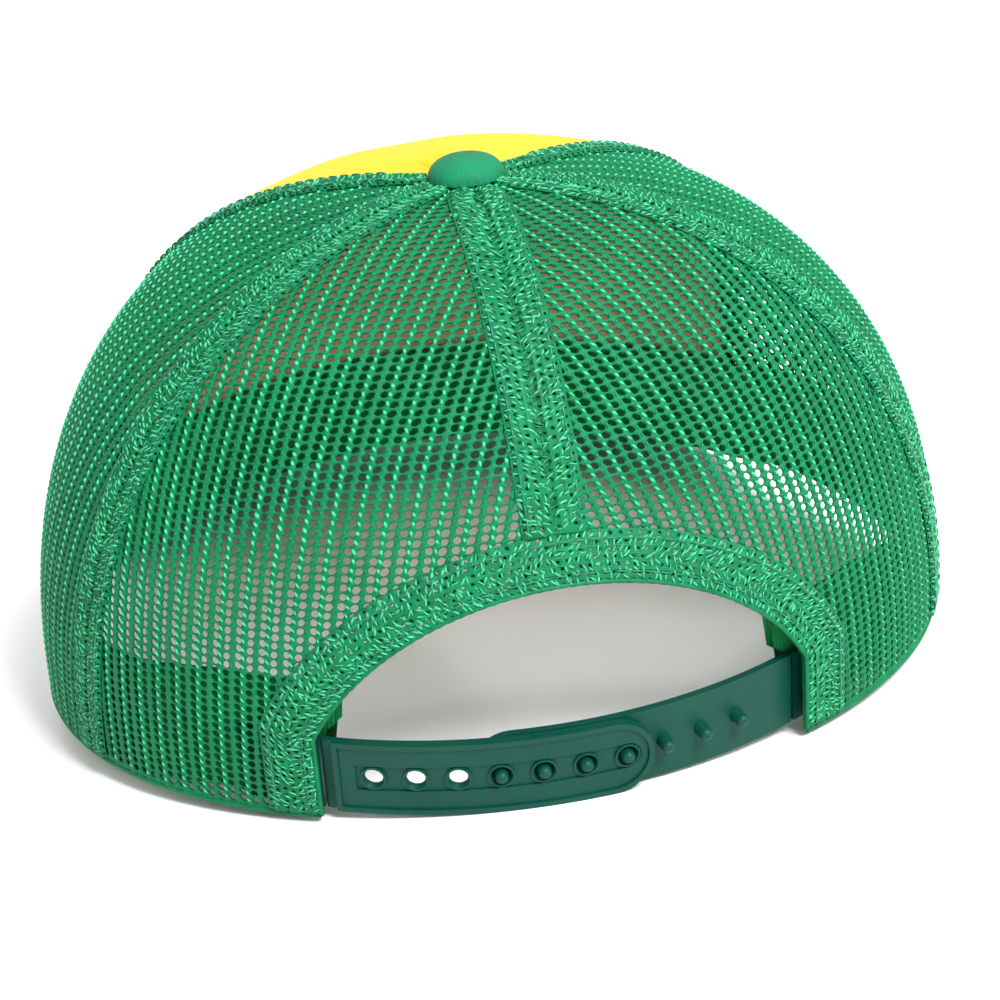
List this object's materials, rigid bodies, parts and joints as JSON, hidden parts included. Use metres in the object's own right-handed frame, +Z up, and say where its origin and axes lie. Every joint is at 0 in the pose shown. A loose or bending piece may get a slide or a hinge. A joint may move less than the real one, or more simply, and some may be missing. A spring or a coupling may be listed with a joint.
{
  "type": "trucker mesh cap",
  "caption": "Trucker cap: foam front panel, mesh side and back panels, curved visor, sweatband and a snap strap across an arched back opening.",
  "frame": {"origin": "bottom centre of the cap's box, on the surface it rests on", "axes": "+Z up, +Y towards the back where the strap is, -Y towards the visor, +X the wearer's left"},
  "size_m": [0.201, 0.2729, 0.1197],
  "materials": {
    "green_mesh": "open warp-knit mesh, slightly glossy yarn",
    "green_mesh_fold": "doubled warp-knit mesh",
    "yellow_front": "smooth knit bonded to foam",
    "tan_foam": "soft open foam",
    "green_sweatband": "matte twill",
    "green_strap": "soft moulded plastic, satin",
    "visor_board": "plain board",
    "green_visor": "matte twill",
    "green_button": "fine ribbed cloth",
    "button_metal": "plain"
  },
  "bodies": {
    "crown": {"mesh_back_left": "green_mesh", "mesh_back_right": "green_mesh", "mesh_side_left": "green_mesh", "mesh_side_right": "green_mesh", "front_cover": "yellow_front", "front_foam": "tan_foam", "seam_band_center": "green_mesh_fold", "seam_band_left_side": "green_mesh_fold", "seam_band_right_side": "green_mesh_fold", "seam_band_left_front": "green_mesh_fold", "seam_band_right_front": "green_mesh_fold", "back_arch_hem": "green_mesh_fold", "sweatband_core": "green_sweatband", "sweatband_skin": "green_sweatband", "strap_tab_holes": "green_strap", "strap_tab_pegs": "green_strap", "visor_board": "visor_board", "visor_top_cover": "green_visor", "visor_under_cover": "green_visor", "button_cover": "green_button", "button_shell": "button_metal", "button_washer": "button_metal"},
    "strap_holes": {"strap_half_holes": "green_strap"},
    "strap_pegs": {"strap_half_pegs": "green_strap"}
  },
  "joints": [
    {"name": "hole_strap_swing", "type": "hinge", "parent": "crown", "child": "strap_holes", "pos_m": [0.04783, 0.11884, 0.00279], "axis": [0, -0.2028, -0.9792], "range_deg": [0, 60], "stiffness_Nm_per_rad": 0.02},
    {"name": "peg_strap_swing", "type": "hinge", "parent": "crown", "child": "strap_pegs", "pos_m": [-0.0471, 0.11739, 0.00309], "axis": [0, -0.2028, -0.9792], "range_deg": [0, 30], "stiffness_Nm_per_rad": 0.02}
  ]
}
